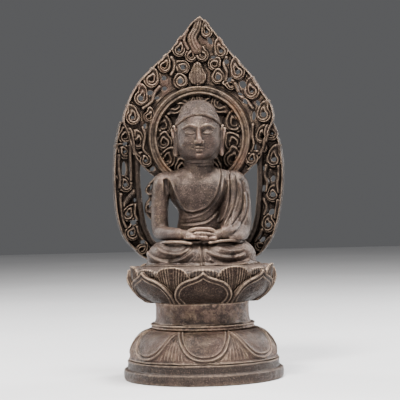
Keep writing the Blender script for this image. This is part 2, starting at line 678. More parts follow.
def left_arm_shapes(clay):
    add = clay.add
    add(ball([29.4, 5, 156.6], [9.4, 11.2, 10.4]), 2.5)
    add(tube([(31.6, 5, 154), (32.8, 5, 140), (33.2, 4, 127), (32, 2.4, 119.6)],
             8.2, 7.6, 3, (1, 1.22, 1)), 2.5)
    add(tube([(32, 2.4, 119.4), (29.4, -6, 118.2), (23, -15.5, 117.6), (15.5, -22.4, 116.8)],
             7.4, 4.9, 4), 1.6)
    add(tube([(24.5, 3, 158), (25.4, 0.5, 142), (23.6, -3, 128), (22, -8, 119)],
             8.2, 7.2, 3, (1, 1.1, 1)), 3)
    # the end of the sleeve, hanging on the lap
    add(tube([(33.5, -3, 117), (31.4, -11, 115), (28.5, -17.5, 112.6)], 5.6, 4.4, 3), 2.2)
    add(rod([25.4, -13.5, 119.6], [24.2, -20, 112.6], 4, 3.2), 1.2)
    add(tube([(21.2, -13, 122.6), (20.8, -19.5, 120.2), (21, -22.5, 116.4), (23.4, -23.4, 112.6)],
             0.5, 0.5, 5), 0.8)


def hand_shapes(clay):
    add = clay.add
    add(tube([(-20, -17.5, 117), (-13.6, -23.8, 116.6), (-9.5, -26.4, 116.4)],
             4.7, 3.4, 3, (1, 1, 0.9)), 1)
    add(tube([(21, -17.5, 117.4), (14, -23.6, 116.4), (9.5, -26.2, 115)], 5, 3.4, 3, (1, 1, 0.9)), 1)
    # lower hand, from the left wrist, palm up
    add(rod([9.5, -26.6, 113.4], [2, -27.6, 112.8], 3.6, 3.3, (1, 1.7, 0.75)), 1.2)
    for y, reach in ((-32.4, -11.2), (-29.6, -12.8), (-26.6, -12), (-23.8, -9.8)):
        add(tube([(4, y + 0.4, 114), (-3.6, y, 114.3), (reach, y + 1.2, 114.2)], 1.7, 1.2, 4), 0.5)
    # upper hand, from the right wrist
    add(rod([-10, -26.4, 116.4], [-3.5, -27.4, 116.4], 3.4, 3.2, (1, 1.6, 0.72)), 1.2)
    for y, reach in ((-31.8, 9.8), (-28.9, 11.4), (-26, 10.8), (-23.4, 9)):
        add(tube([(-4.4, y + 0.2, 117.2), (2.4, y - 0.2, 117.2), (reach, y + 1.4, 116)],
                1.7, 1.1, 4), 0.6)
    # the thumbs rise to meet
    add(tube([(-11.2, -25.2, 118), (-8.2, -28.2, 119.8), (-4.2, -30, 120.9), (-0.3, -30.6, 121.2)],
             1.7, 1.1, 4), 0.9)
    add(tube([(11.4, -25, 117.6), (8.4, -28, 119.6), (4.4, -30, 120.8), (0.3, -30.6, 121.2)],
             1.7, 1.1, 4), 0.9)


def make_legs(rng):
    clay = Clay([-48, -43, SEAT_Z - 1], [48, 27, LAP_Z + 1], 0.5)
    add = clay.add
    add(ball([0, 4, 97], [39, 20, 15.4]))
    for side in (-1, 1):
        add(ball([side * 30.6, -8, 95.4], [14.2, 17.4, 15.8]), 3)
        add(rod([side * 29, -6, 99], [side * 12, -21, 98], 11.4, 11.8, (1, 1.25, 1)), 3)
    add(ball([0, -17, 95], [27, 21.5, 15.2]), 3)
    # robe spread flat on the seat
    add(ball([0, -10, SEAT_Z], [46, 30, 3.2]), 1.2)
    relief = flat_field(clay, lap_relief)
    clay.d = clay.d + relief * ramp(clay.y, 4, -4)
    # turned hems on top of the lap
    add(tube([(-32, -14, 110.2), (-25, -22.5, 111), (-16, -28.8, 110.8), (-8, -31.8, 109.6)], 1, 0.8, 5), 1.3)
    add(tube([(32, -14, 110.2), (25, -22.5, 111.2), (15, -29, 111), (6, -32.2, 109.8)], 1, 0.8, 5), 1.3)
    add(tube([(-29, -11, 111.4), (-21, -18.5, 112), (-13, -23.6, 111.8)], 0.8, 0.7, 4), 1.2)
    add(tube([(29, -11, 111.4), (21, -18.5, 112), (12, -23.6, 111.8)], 0.8, 0.7, 4), 1.2)
    clay.grain(rng, 0.09, 0.05)
    clay.level(SEAT_Z, LAP_Z + 0.4)
    cast("legs", clay)


def make_torso(rng):
    clay = Clay([-27, -16, LAP_Z - 1], [27, 26, NECK_Z + 1], 0.45)
    body_shapes(clay)
    right_arm_shapes(clay)
    left_arm_shapes(clay)
    clay.d = clay.d + flat_field(clay, robe_relief) * ramp(clay.y, 4, -3)
    clay.d = clay.d + flat_field(clay, back_relief) * ramp(clay.y, 6, 12)
    clay.grain(rng, *BODY_GRAIN)
    low = clay.field(block([-WAIST_X, LAP_Y, LAP_Z], [WAIST_X, FAR, HAND_Z + 3]))
    high = clay.field(block([-SHOULDER_X - SEAM, -FAR, HAND_Z], [SHOULDER_X + SEAM, FAR, NECK_Z]))
    clay.trim(np.minimum(low, high))
    cast("torso", clay)


def arm_limits(clay, side):
    """What the torso and the hands leave to an arm."""
    x = side * clay.x
    upper = np.maximum(SHOULDER_X - SEAM - x, HAND_Z - clay.z)
    lower = np.maximum(WAIST_X - x, clay.z - HAND_Z - 1)
    front = np.maximum(WRIST_X - x, np.maximum(clay.y - LAP_Y - SEAM, clay.z - HAND_Z - 1))
    room = np.minimum(np.minimum(upper, lower), front)
    return np.maximum(room, LAP_Z - 0.4 - clay.z)


def make_right_arm(rng):
    clay = Clay([-42, -32, LAP_Z - 1], [-15, 20, 170], 0.42)
    body_shapes(clay)
    right_arm_shapes(clay)
    clay.grain(rng, *BODY_GRAIN)
    clay.trim(arm_limits(clay, -1))
    cast("right_arm", clay)


def make_left_arm(rng):
    clay = Clay([15, -32, LAP_Z - 1], [43, 22, 170], 0.42)
    body_shapes(clay)
    left_arm_shapes(clay)
    clay.d = clay.d + flat_field(clay, sleeve_relief) * ramp(clay.y, 6, -2)
    clay.grain(rng, *BODY_GRAIN)
    clay.trim(arm_limits(clay, 1))
    cast("left_arm", clay)


def make_hands(rng):
    clay = Clay([-17.5, -38, LAP_Z - 1], [17.5, -10, HAND_Z + 2], 0.28)
    hand_shapes(clay)
    clay.grain(rng, 0.05, 0.035)
    wide = WRIST_X + SEAM
    clay.trim(clay.field(block([-wide, -FAR, LAP_Z - 0.2], [wide, LAP_Y + SEAM, HAND_Z + 1])))
    cast("hands", clay)


def hairline(x, y):
    """Height of the edge of the hair: an even arch over the forehead, running down behind the ears."""
    return 203.4 - 0.45 * (y - 2) + 1.6 * bump(x, 10) - 1.2 * bump(abs(x) - 15.5, 3)


def skull_shapes(clay):
    clay.add(ball([0, 3, 201.5], [18, 20.2, 19.2]))
    clay.add(ball([0, -1, 194.5], [17.2, 17.3, 18.2]), 3)


def make_head(rng):
    clay = Clay([-24.5, -24, NECK_Z - 1], [24.5, 24, 221], 0.36)
    add, carve = clay.add, clay.carve
    skull_shapes(clay)
    add(ball([0, -5.8, 185], [12.8, 11.4, 9]), 5)
    add(ball([0, -13.9, 180.4], [4.6, 4, 3.4]), 3)
    add(ball([0, -9.6, 183.6], [9, 6.8, 5]), 3)
    for side in (-1, 1):
        add(ball([side * 8.6, -9.2, 189], [7, 6.8, 6.6]), 4)
        add(rod([side * 10.5, 1, 182], [side * 13.5, 3, 190], 5, 6), 4)
    # neck with three soft creases
    add(NECK, 1.6)
    r = np.sqrt(clay.x ** 2 + (clay.y - NECK_Y) ** 2)
    for z in (172.6, 174.9, 177.2):
        level = z - 0.9 * np.cos(np.arctan2(clay.x, NECK_Y - clay.y))
        clay.d = clay.d + 0.4 * bump(clay.z - level, 0.45) * ramp(r, 15.5, 13.4) * ramp(r, 8, 10)
    for side in (-1, 1):
        # brow, socket, eye and lids
        carve(ball([side * 6.9, -19.9, 198.6], [5.2, 4.4, 3]), 2.6)
        add(tube(on(side, [(2.2, -17.6, 202.4), (5, -17.5, 203.9), (8.8, -15.8, 204.1),
                           (13, -12.6, 201.7)]), 0.5, 0.4, 5), 1.3)
        add(ball([side * 6.9, -12.7, 197.8], [4.7, 4.3, 3.2]), 1)
        carve(tube(on(side, [(2.7, -17.2, 197.5), (4.8, -17.4, 196.7), (7.4, -17, 196.5),
                             (10, -15.6, 197.2), (11.4, -14.4, 197.9)]), 0.36, 0.3, 5), 0.25)
        carve(tube(on(side, [(2.9, -16.6, 198.6), (5, -16.9, 200.3), (8, -16.3, 200.6),
                             (11, -14.2, 199)]), 0.28, 0.25, 5), 0.3)
        add(tube(on(side, [(3.2, -16.9, 197.9), (5, -17.2, 197.5), (7.6, -16.9, 197.4),
                           (10.6, -15, 198.1)]), 0.4, 0.35, 5), 0.3)
        add(tube(on(side, [(3.4, -16.7, 196), (6.6, -16.7, 195.3), (10.2, -15, 196.4)]),
                 0.35, 0.3, 4), 0.5)
        # side of the nose, nostril and the fold beside the mouth
        add(ball([side * 2.5, -18.6, 190.5], [1.7, 1.9, 1.5]), 0.7)
        carve(ball([side * 1.5, -20.4, 189.2], [0.75, 1, 0.5]), 0.3)
        add(ball([side * 6.9, -14.6, 186.2], [1.8, 1.4, 1.8]), 1.8)
        carve(ball([side * 5.2, -18, 185.8], [0.6, 1.1, 0.5]), 0.7)
    add(tube([(0, -16.6, 204), (0, -17.6, 200), (0, -18.9, 195.6), (0, -20.3, 191.8)],
             1.15, 1.7, 4), 1.1)
    add(ball([0, -19.7, 190.9], [2.1, 2.1, 1.8]), 0.8)
    carve(rod([0, -19.2, 188.6], [0, -18.4, 186.7], 0.45, 0.6), 0.5)
    # lips
    for side in (-1, 1):
        add(tube(on(side, [(0.1, -18.3, 186), (1.3, -18.4, 186.4), (3, -17.7, 185.9),
                           (4.8, -16.5, 185.5)]), 0.85, 0.35, 5), 0.5)
        carve(tube(on(side, [(0, -18.9, 185.05), (2, -18.7, 184.9), (4, -17.6, 185.2),
                             (5.5, -16.5, 185.8)]), 0.28, 0.24, 5), 0.25)
    add(rod([-1.6, -17.5, 183.7], [1.6, -17.5, 183.7], 1.25, 1.25, (1, 1, 0.85)), 0.6)
    carve(ball([0, -18.2, 181.6], [3, 1.3, 0.8]), 1.2)
    # long ears
    for side in (-1, 1):
        add(tube(on(side, [(18.3, -0.6, 200.4), (19.8, 0.6, 204.2), (21.2, 3.4, 205.6), (21.6, 6.2, 203),
                           (20.8, 7, 198), (19.8, 5.6, 192), (19.2, 3.8, 186.4)]),
                 1.15, 1.25, 5, (0.9, 1, 1)), 0.7)
        add(tube(on(side, [(17.6, 0.8, 195.5), (18.2, 0.8, 190.4), (18.6, 1.6, 185), (18.5, 2.4, 181.4)]),
                 1.7, 1.55, 5, (0.8, 1, 1)), 1.2)
        add(rod([side * 18.6, 4.2, 192], [side * 18.9, 3.2, 182.6], 2.2, 1.9, (0.62, 1, 1)), 1)
        add(ball([side * 18.4, 3.6, 198.6], [1.9, 3.6, 5.6]), 0.8)
        carve(tube(on(side, [(19.4, 1.8, 199.8), (20.6, 4, 201.4), (20.2, 5, 197.6),
                             (19.8, 3.2, 193.6), (19.6, 2, 196.6)]), 0.55, 0.5, 5), 0.4)
    clay.grain(rng, 0.045, 0.03)
    clay.d = np.maximum(clay.d, clay.z - hairline(clay.x, clay.y) - 0.6)
    clay.trim(NECK_Z - 0.2 - clay.z)
    cast("head", clay)


def make_hair(rng):
    clay = Clay([-22, -20, 190], [22, 26, 228], 0.4)
    skull_shapes(clay)
    clay.d = clay.d - 1.3
    clay.add(ball([0, 4.6, 214.6], [14.8, 14.4, 11.2]), 2.4)
    edge = clay.z - hairline(clay.x, clay.y)
    clay.d = clay.d - 0.35 * bump(edge - 1.4, 1) + 0.25 * bump(edge - 3.6, 0.8)
    comb = np.cos(np.arctan2(clay.x, clay.z - 196) * 46 + 0.5 * np.sin(clay.y * 0.4))
    clay.d = clay.d + 0.05 * comb
    clay.grain(rng, 0.14, 0.26)
    clay.d = smooth_max(clay.d, -edge, 0.5)
    cast("hair_cap", clay, name="hair")


# ---------------------------------------------------------------- mandorla

class Relief:
    """Height of the front above the plate and the outline of what is cut away, over width u and height z."""

    def __init__(self, half, z0, z1, step=0.42):
        self.step = step
        self.u = np.arange(-half, half + step, step, dtype=np.float32)[:, None]
        self.z = np.arange(z0, z1 + step, step, dtype=np.float32)[None, :]
        self.ground = -1.7
        self.h = np.full((self.u.size, self.z.size), self.ground, np.float32)
        self.away = np.full_like(self.h, -20)
        self.z0 = z0

    def drop(self, c, r, turn, tail, lean=0.0):
        """1 on a drop-shaped outline, 0 at its middle; turn is where the tail points, in degrees."""
        dx, dz = self.u - c[0], self.z - c[1]
        rho = np.sqrt(dx * dx + dz * dz) + 1e-4
        theta = np.arctan2(dz, dx) - math.radians(turn) - lean * np.clip(rho / r - 0.6, 0, 3)
        reach = 1 + (tail / r - 1) * np.clip(np.cos(theta), 0, 1) ** 9
        return rho / (r * reach), theta

    def curl(self, c, r, turn, tail, lean=0.4, eye=0.0, height=1.4, pitch=0.44):
        """A curled leaf that winds into its middle; eye is the size of the hole through it, or 0."""
        q, theta = self.drop(c, r, turn, tail, lean)
        way = -1 if lean < 0 else 1
        phase = (q - 0.86) / pitch - way * theta / (2 * math.pi)
        roll = 0.34 + 0.66 * (0.5 + 0.5 * np.cos(2 * math.pi * phase)) ** 0.8
        roll = np.maximum(roll * ramp(q, 0.16, 0.34), 0.9 * bump(q - 0.9, 0.09)) * ramp(q, 1.04, 0.95)
        w = ramp(q, 1.10, 1)
        self.h = self.h * (1 - w) + (self.ground + 0.3 + (height - self.ground) * roll) * w
        self.h = self.h - 1.1 * bump(q - 1.13, 0.08)
        if eye > 0:
            dx, dz = self.u - c[0], self.z - c[1]
            self.away = np.maximum(self.away, eye - np.sqrt(dx * dx + dz * dz))

    def flames(self, outline, table):
        """Curls along an outline, which each of them swells a little; gives the new outline."""
        for c, r, turn, tail, lean, eye in table:
            self.curl(c, r * 1.08, turn, tail, lean, eye)
            q = self.drop(c, r, turn, tail, lean)[0]
            outline = np.minimum(outline, np.maximum((q - 1.02) * r * 0.8, outline - 0.6))
        return outline

    def stroke(self, path, w0, w1=None, height=1.5, groove=0.7):
        """A rounded stem along a path, tapering from w0 to w1, with a dark line on both sides."""
        w1 = w0 if w1 is None else w1
        s, t = line_distance(self.u, self.z, curve(path, 5))
        s = np.abs(s)
        w = w0 + (w1 - w0) * t
        body = np.sqrt(np.clip(1 - (s / w) ** 2, 0, 1))
        inside = ramp(s, w + 0.5, w - 0.2)
        raised = self.ground + 0.5 + (height - self.ground - 0.5) * body
        self.h = self.h * (1 - inside) + raised * inside - groove * bump(s - w - 0.5, 0.45)

    def groove(self, path, w, depth):
        s, _ = line_distance(self.u, self.z, curve(path, 5))
        self.h = self.h - depth * bump(s, w)

    def gap(self, c, a, b, turn=0.0):
        """An opening through the plate, a long and b wide."""
        t = math.radians(turn)
        dx, dz = self.u - c[0], self.z - c[1]
        p, q = (dx * math.cos(t) + dz * math.sin(t)) / a, (-dx * math.sin(t) + dz * math.cos(t)) / b
        k = np.sqrt(p * p + q * q)
        self.away = np.maximum(self.away, (1 - k) * min(a, b))
        self.h = self.h - 0.6 * bump(k - 1.25, 0.25)


def cast_relief(node, relief, r_back, rng):
    """Stands a relief on a plate and curves it about the upright axis, to the radius r_back behind."""
    thick, up = PLATE_T, 3.6
    clay = Clay([relief.u[0, 0], -1.2, relief.z0], [relief.u[-1, 0], thick + up, relief.z[0, -1]],
                relief.step)
    n = min(clay.n[0], relief.h.shape[0]), min(clay.n[2], relief.h.shape[1])
    h = np.zeros((clay.n[0], clay.n[2]), np.float32)
    away = np.full_like(h, 9)
    h[:n[0], :n[1]] = relief.h[:n[0], :n[1]]
    away[:n[0], :n[1]] = relief.away[:n[0], :n[1]]
    h = np.clip(h, -2.5, up - 0.8)
    front = clay.y - (thick + h)[:, None, :]
    slope = np.gradient(h, relief.step)
    front = front / np.sqrt(1 + slope[0] ** 2 + slope[1] ** 2)[:, None, :]
    solid = smooth_max(front.astype(np.float32), away[:, None, :] + 0 * clay.y, 0.9)
    clay.d = np.maximum(solid, 0.3 - clay.y).astype(np.float32)
    clay.grain(rng, 0.07, 0.05)
    axis_y = PLATE_Y - PLATE_CURVE_R

    def bend(v):
        r, s = r_back - v[:, 1], v[:, 0] / r_back
        return np.stack([r * s, axis_y + r * np.sqrt(1 - s * s), v[:, 2]], 1)
    cast(node, clay, "mandorla", bend)


HEAD_OUTLINE = [
    (4, 297.6), (-2.7, 293), (-8, 286.6), (-12.2, 281), (-17, 275.6), (-21.6, 270), (-27, 264.6),
    (-32.5, 260), (-40.4, 252.6), (-47, 245.6), (-52.4, 238), (-56.8, 230.1), (-60, 222), (-62.6, 214),
    (-62.4, 208), (-59.6, 201), (-57.4, 192), (-54.6, 184), (-51.5, 177.5), (-44.6, 170), (-38, 165),
    (-24, 155), (0, 150.4), (24, 155), (38, 164), (44, 169.6), (52, 177.5), (55, 184), (57.6, 192),
    (60.4, 201), (63.6, 208), (64, 214), (62.2, 222), (55.6, 232), (50.6, 241), (44.6, 249.2), (37, 257.8),
    (29.8, 266), (23, 275), (16.8, 283.3), (11, 290.6)]
RIBBON = [(-33, 172), (-37, 164), (-43, 158), (-45.5, 152), (-42.5, 147), (-45.5, 142), (-46, 135),
          (-42, 129), (-38, 128), (-38, 136), (-41, 142), (-38, 149), (-38, 156), (-32, 162), (-28, 168)]


# the ring round the head
HALO_X, HALO_Z = 1.2, 196


def make_head_nimbus(rng):
    plate = Relief(66, 126, MANDORLA_Z + 1.2)
    u, z = plate.u, plate.z
    loop = curve(HEAD_OUTLINE + HEAD_OUTLINE[:1], 3)[:-1]
    outline = outline_distance(u, z, loop)
    ribbon = outline_distance(u, z, curve(RIBBON + RIBBON[:1], 3)[:-1])
    # halo ring round the head and the leaves inside it
    r = np.hypot(u - HALO_X, z - HALO_Z)
    leaves = [
        ((-19.6, 223.6), 7, 200, 12, 0.5, 1.3), ((-8, 229.4), 6.4, 180, 11, 0.4, 1.3),
        ((6, 230), 6.2, 0, 11, -0.4, 1.3), ((19.5, 224), 7.4, -20, 12.5, -0.5, 1.5),
        ((-29.2, 206), 7.4, 80, 11, 0.4, 1.7), ((-29, 192.4), 6.6, 100, 10, -0.4, 1.7),
        ((-27, 178.6), 6.8, 75, 12, -0.3, 1.9), ((31.2, 207.4), 8, 110, 12, -0.4, 1.8),
        ((30.7, 191), 7.4, 110, 11, 0.4, 1.8), ((28.8, 177.2), 7, 60, 12, 0.5, 1.9),
        ((-14, 171), 6, 90, 9, 0.3, 1.4), ((13, 171), 6, 90, 9, -0.3, 1.4)]
    for c, size, turn, tail, lean, high in leaves:
        plate.curl(c, size * 1.08, turn, tail, lean, 0, high - 0.5)
    # flame curls outside the ring: centre, size, tail direction, tail length, lean, eye, height
    curls = [
        ((-14.2, 269.4), 5.6, 62, 12.5, 0.35, 1.1), ((-27.2, 256), 5.2, 58, 11, 0.3, 0),
        ((-11.6, 254.6), 5.6, 150, 8, -0.3, 1.9), ((-13.6, 243.2), 5.8, 95, 7.5, 0.3, 2.1),
        ((-38.4, 244.8), 6.2, 62, 11, 0.3, 0), ((-47.2, 229.4), 5.6, 66, 13, 0.3, 2),
        ((-54.6, 213.6), 5.6, 84, 12, 0.3, 1.4), ((-50.8, 193.2), 5.6, 70, 11, 0.5, 2.1),
        ((-44.4, 177.6), 5, 100, 9.5, 0.5, 0.9), ((-41, 214), 4.4, 60, 9, 0.4, 0),
        ((9.4, 284), 4.6, 112, 12, -0.3, 1), ((21.2, 267.6), 5.6, 118, 12.5, -0.3, 1.4),
        ((15.4, 256.8), 5.2, 40, 7.5, 0.3, 0), ((34.8, 249.6), 5.8, 120, 14, -0.3, 1.8),
        ((18.2, 245.8), 5.4, 100, 8, -0.3, 1.7), ((46.2, 233.4), 6.2, 112, 12.5, -0.3, 0.9),
        ((55.6, 213.6), 5.8, 98, 13, -0.3, 2), ((54.2, 195.6), 5.6, 100, 10.5, -0.4, 1.8),
        ((44.6, 177.2), 5.4, 70, 9.5, -0.5, 0.9), ((29, 239.6), 4.2, 150, 8, 0.3, 0)]
    outline = plate.flames(outline, curls)
    # lotus bud with the scrolls and the plume above it
    plate.curl((-4.2, 264.4), 5.4, 80, 9, 0.5)
    plate.curl((5.2, 264.4), 5.4, 110, 8, -0.5)
    bud, _ = plate.drop((0.8, 246.6), 7.4, 90, 12.5, 0)
    w = ramp(bud, 1.08, 0.94)
    veins = 0.25 * np.cos((u - 0.8) * 2.6)
    plate.h = plate.h * (1 - w) + (1.5 + veins + 0.5 * bump(bud - 0.86, 0.1) - 0.3 * ramp(bud, 0.5, 0.8)) * w
    plate.h = plate.h - 1.3 * bump(bud - 1.14, 0.09)
    for path, wide in (
            ([(0.8, 269.6), (-2.4, 275), (-2.8, 280.5), (0.6, 286.4), (2.8, 293.6)], 4.6),
            ([(-7, 270.4), (-9.6, 275.6), (-9.6, 280), (-6.4, 285.6)], 1.6),
            ([(-21, 263), (-18.6, 258.6), (-19.4, 252.6), (-21.6, 249)], 1.6),
            ([(25.6, 262), (23.4, 256), (25.6, 249.6), (24.8, 243)], 1.6),
            ([(-31.6, 238.6), (-36, 233.4), (-38.4, 226.6), (-45.8, 221.4)], 1.7),
            ([(32.4, 240), (36.6, 230), (42.6, 224.8), (46.6, 219.4)], 1.7),
            ([(-46, 205), (-44.8, 198), (-46.6, 188), (-43.6, 183)], 1.6),
            ([(46.6, 205.4), (45.4, 197), (47.2, 188), (44.4, 183.6)], 1.6),
            ([(-57.4, 204), (-55.6, 200.4), (-53.6, 186), (-50, 181)], 1.4),
            ([(58.6, 204.4), (56.8, 200), (54.4, 186), (51, 181)], 1.4)):
        plate.stroke(path, wide, wide * 0.75, 1.4)
    for shift in (-1.5, 1.6):
        plate.groove([(0.8 + shift, 269), (-2.4 + shift, 275), (-2.8 + shift, 280.5), (0.6 + shift, 286.4),
                      (2.6 + 0.6 * shift, 292.6)], 0.55, 1)
    for at in [((-27.3, 246.2), 2, 1.8, 0), ((-27, 237.6), 1.9, 1.6, 0), ((-39.4, 234.2), 2.4, 1.9, 30),
               ((-33.4, 229.8), 1.8, 1.1, 20), ((-44.4, 206.4), 2.4, 1.2, 70), ((-38.6, 170.8), 2.2, 1.3, 40),
               ((12.2, 276.2), 3, 1.6, -60), ((14.4, 262.8), 1.8, 1.3, 0), ((25.4, 258.8), 2, 1.8, 0),
               ((27.8, 243.6), 2.2, 1.4, 60), ((38.8, 239.4), 3.4, 2.6, -50), ((36.2, 231.4), 1.8, 1.1, -30),
               ((40.4, 225.2), 2.4, 1.5, -50), ((51, 223.4), 2.6, 1.3, -60), ((47.2, 213), 3.6, 1.4, 85),
               ((48.6, 187.2), 2.4, 1.3, 70)]:
        plate.gap(*at)
    band = (r < 44) & (r > 35)
    ring = 2.0 * ramp(r, 43.2, 42.2) * ramp(r, 35.8, 36.8) - 1.1 * bump(r - 38.7, 0.6)
    keep = ramp(r, 44, 43) * ramp(r, 35, 35.8)
    plate.h = np.where(band, plate.h * (1 - keep) + ring * keep, plate.h)
    plate.h = plate.h - 1.6 * bump(r - 34.6, 0.9) - 1.2 * bump(r - 44.4, 0.7)
    plate.away = np.where(band & (r < 43.6), np.minimum(plate.away, -3), plate.away)
    # thin raised rim along the outside
    rim = bump(outline + 0.9, 0.9) * (z > 168)
    plate.h = plate.h * (1 - rim) + 0.9 * rim - 0.5 * bump(outline + 2.6, 0.6) * (z > 168)
    lobes = 1.2 * bump(np.hypot(u + 42, z - 153) - 3.6, 1) + 1.2 * bump(np.hypot(u + 42, z - 138) - 3.4, 1)
    low = (ribbon < 0) & (outline > -1)
    plate.h = np.where(low, 0.4 + lobes, plate.h)
    plate.gap((-40.4, 155.6), 2.6, 0.9, 70)
    plate.gap((-41.6, 141), 2.8, 0.9, 80)
    plate.away = np.maximum(plate.away, np.minimum(outline, ribbon))
    cast_relief("head_nimbus", plate, PLATE_CURVE_R - PLATE_T / 2, rng)


BODY_OUTER = [
    (-54, 216), (-62.4, 212.4), (-65.4, 210.6), (-68.2, 200), (-69.9, 190), (-71.3, 178), (-71.9, 166.5),
    (-71.6, 150), (-70.9, 139), (-69.2, 128), (-66.6, 119), (-63.8, 113), (-57.6, 105.4), (-48.1, 96.4),
    (-38, 94), (-26, 92.4), (26, 92.4), (38, 94), (49, 96.6), (58.6, 107), (63.4, 116.6), (66.4, 127),
    (68.6, 138), (70.4, 151), (71.3, 163), (71.2, 174), (70.2, 184), (68.4, 193), (65.8, 201),
    (62.8, 208), (58, 213), (52, 216)]
BODY_INNER = [(50, 210), (49.2, 190), (49.4, 172), (49.2, 158), (48.2, 145), (46.4, 130), (43, 118.5),
              (37, 109.6), (24, 104.6), (0, 103.6)]
BODY_INNER += [(-x, z) for x, z in BODY_INNER[-2::-1]]
BODY_TOP_Z = 210.6


def make_body_nimbus(rng):
    plate = Relief(74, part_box("body_nimbus")[0].z / MM, 213)
    u, z = plate.u, plate.z
    outer = outline_distance(u, z, curve(BODY_OUTER + BODY_OUTER[:1], 3)[:-1])
    inner = outline_distance(u, z, np.vstack([curve(BODY_INNER, 4), [[-50, 240], [50, 240]]]))
    curls = [
        ((-61.6, 197.8), 5.4, 80, 9, 0.4, 0), ((-61.9, 185.4), 5.6, 120, 10, 0.4, 0.8),
        ((-62, 157.8), 5.6, 100, 11, 0.5, 1.2), ((-60.4, 133.6), 5.8, 75, 11, -0.5, 1.2),
        ((-57.6, 117.6), 5.8, 60, 9.5, 0.5, 1.4), ((-49.6, 103.8), 4.4, 40, 8, 0.4, 0),
        ((62.4, 198), 5.4, 100, 10, -0.4, 0.8), ((63.6, 176.2), 6.2, 95, 14, -0.3, 1.7),
        ((62.2, 147), 5.8, 96, 9, -0.4, 1.7), ((57.6, 121.8), 5.8, 105, 11, -0.5, 1.7),
        ((50.6, 104.6), 4.6, 140, 8, -0.4, 0), ((54.6, 186), 3.8, 90, 9, 0.4, 0)]
    outer = plate.flames(outer, curls)
    for path, wide in (
            ([(-57.4, 190), (-57.6, 180), (-57.2, 170), (-57.6, 162)], 1.8),
            ([(-67.2, 182), (-67.4, 172), (-66.6, 164), (-67, 156)], 1.8),
            ([(-55, 151.6), (-59, 147.6), (-62.4, 143), (-66, 139.4)], 2.6),
            ([(-54, 141), (-55, 134), (-53, 129)], 1.6),
            ([(-66.2, 150), (-66.6, 143), (-65.4, 130), (-62.6, 123)], 1.6),
            ([(-53.4, 122.6), (-51.6, 116), (-47.2, 110.4)], 1.5),
            ([(57.2, 171), (55.6, 164), (57.8, 157.4), (56.2, 150)], 1.9),
            ([(67.4, 170), (67.2, 162), (66, 156), (66.8, 149)], 1.8),
            ([(54.4, 143), (56.8, 137), (54.6, 131)], 1.7),
            ([(66.2, 142), (64.6, 135), (63.4, 128)], 1.6),
            ([(52.6, 118), (50, 113.6), (46.6, 108.8)], 1.6),
            ([(59.6, 112.6), (55.4, 107.6), (52, 100.6)], 1.4)):
        plate.stroke(path, wide, wide * 0.8, 1.7)
    for at in [((-62.6, 171.6), 5.8, 1.7, 88), ((-55.8, 126.4), 2.4, 1.8, 30), ((-48.4, 110), 1.9, 1.3, 40),
               ((62.2, 160.4), 2.6, 1.7, 80), ((54.6, 152.6), 2.3, 1.5, 90), ((60.4, 132.6), 2.7, 1.9, 60),
               ((52.6, 110), 2.3, 1.4, 60), ((-54.2, 145.2), 1.8, 0.9, 90), ((-61.6, 192), 1.8, 1, 20),
               ((54.6, 169), 1.6, 0.9, 90)]:
        plate.gap(*at)
    # the inner rim stands forward as a rounded band
    rim = 2.5 * np.sqrt(np.clip(1 - ((inner - 2.3) / 2.5) ** 2, 0, 1))
    w = ramp(inner, 5.2, 4.6)
    plate.h = plate.h * (1 - w) + rim * w - 1.3 * bump(inner - 5.5, 0.6)
    plate.away = np.where(inner < 5, -3, plate.away)
    lip = bump(outer + 1, 0.95)
    plate.h = plate.h * (1 - lip) + 1.1 * lip - 0.6 * bump(outer + 2.8, 0.6)
    tang = np.maximum(np.abs(u) - 11.9, z - 97)
    plate.h = np.where(tang < 0.4, np.minimum(plate.h, -0.25), plate.h)
    body = np.maximum(np.maximum(outer, -inner), z - BODY_TOP_Z)
    plate.away = np.maximum(np.where(tang < 0.3, -3, plate.away), np.minimum(body, tang))
    cast_relief("body_nimbus", plate, PLATE_CURVE_R + PLATE_T / 2, rng)


# ---------------------------------------------------------------- materials

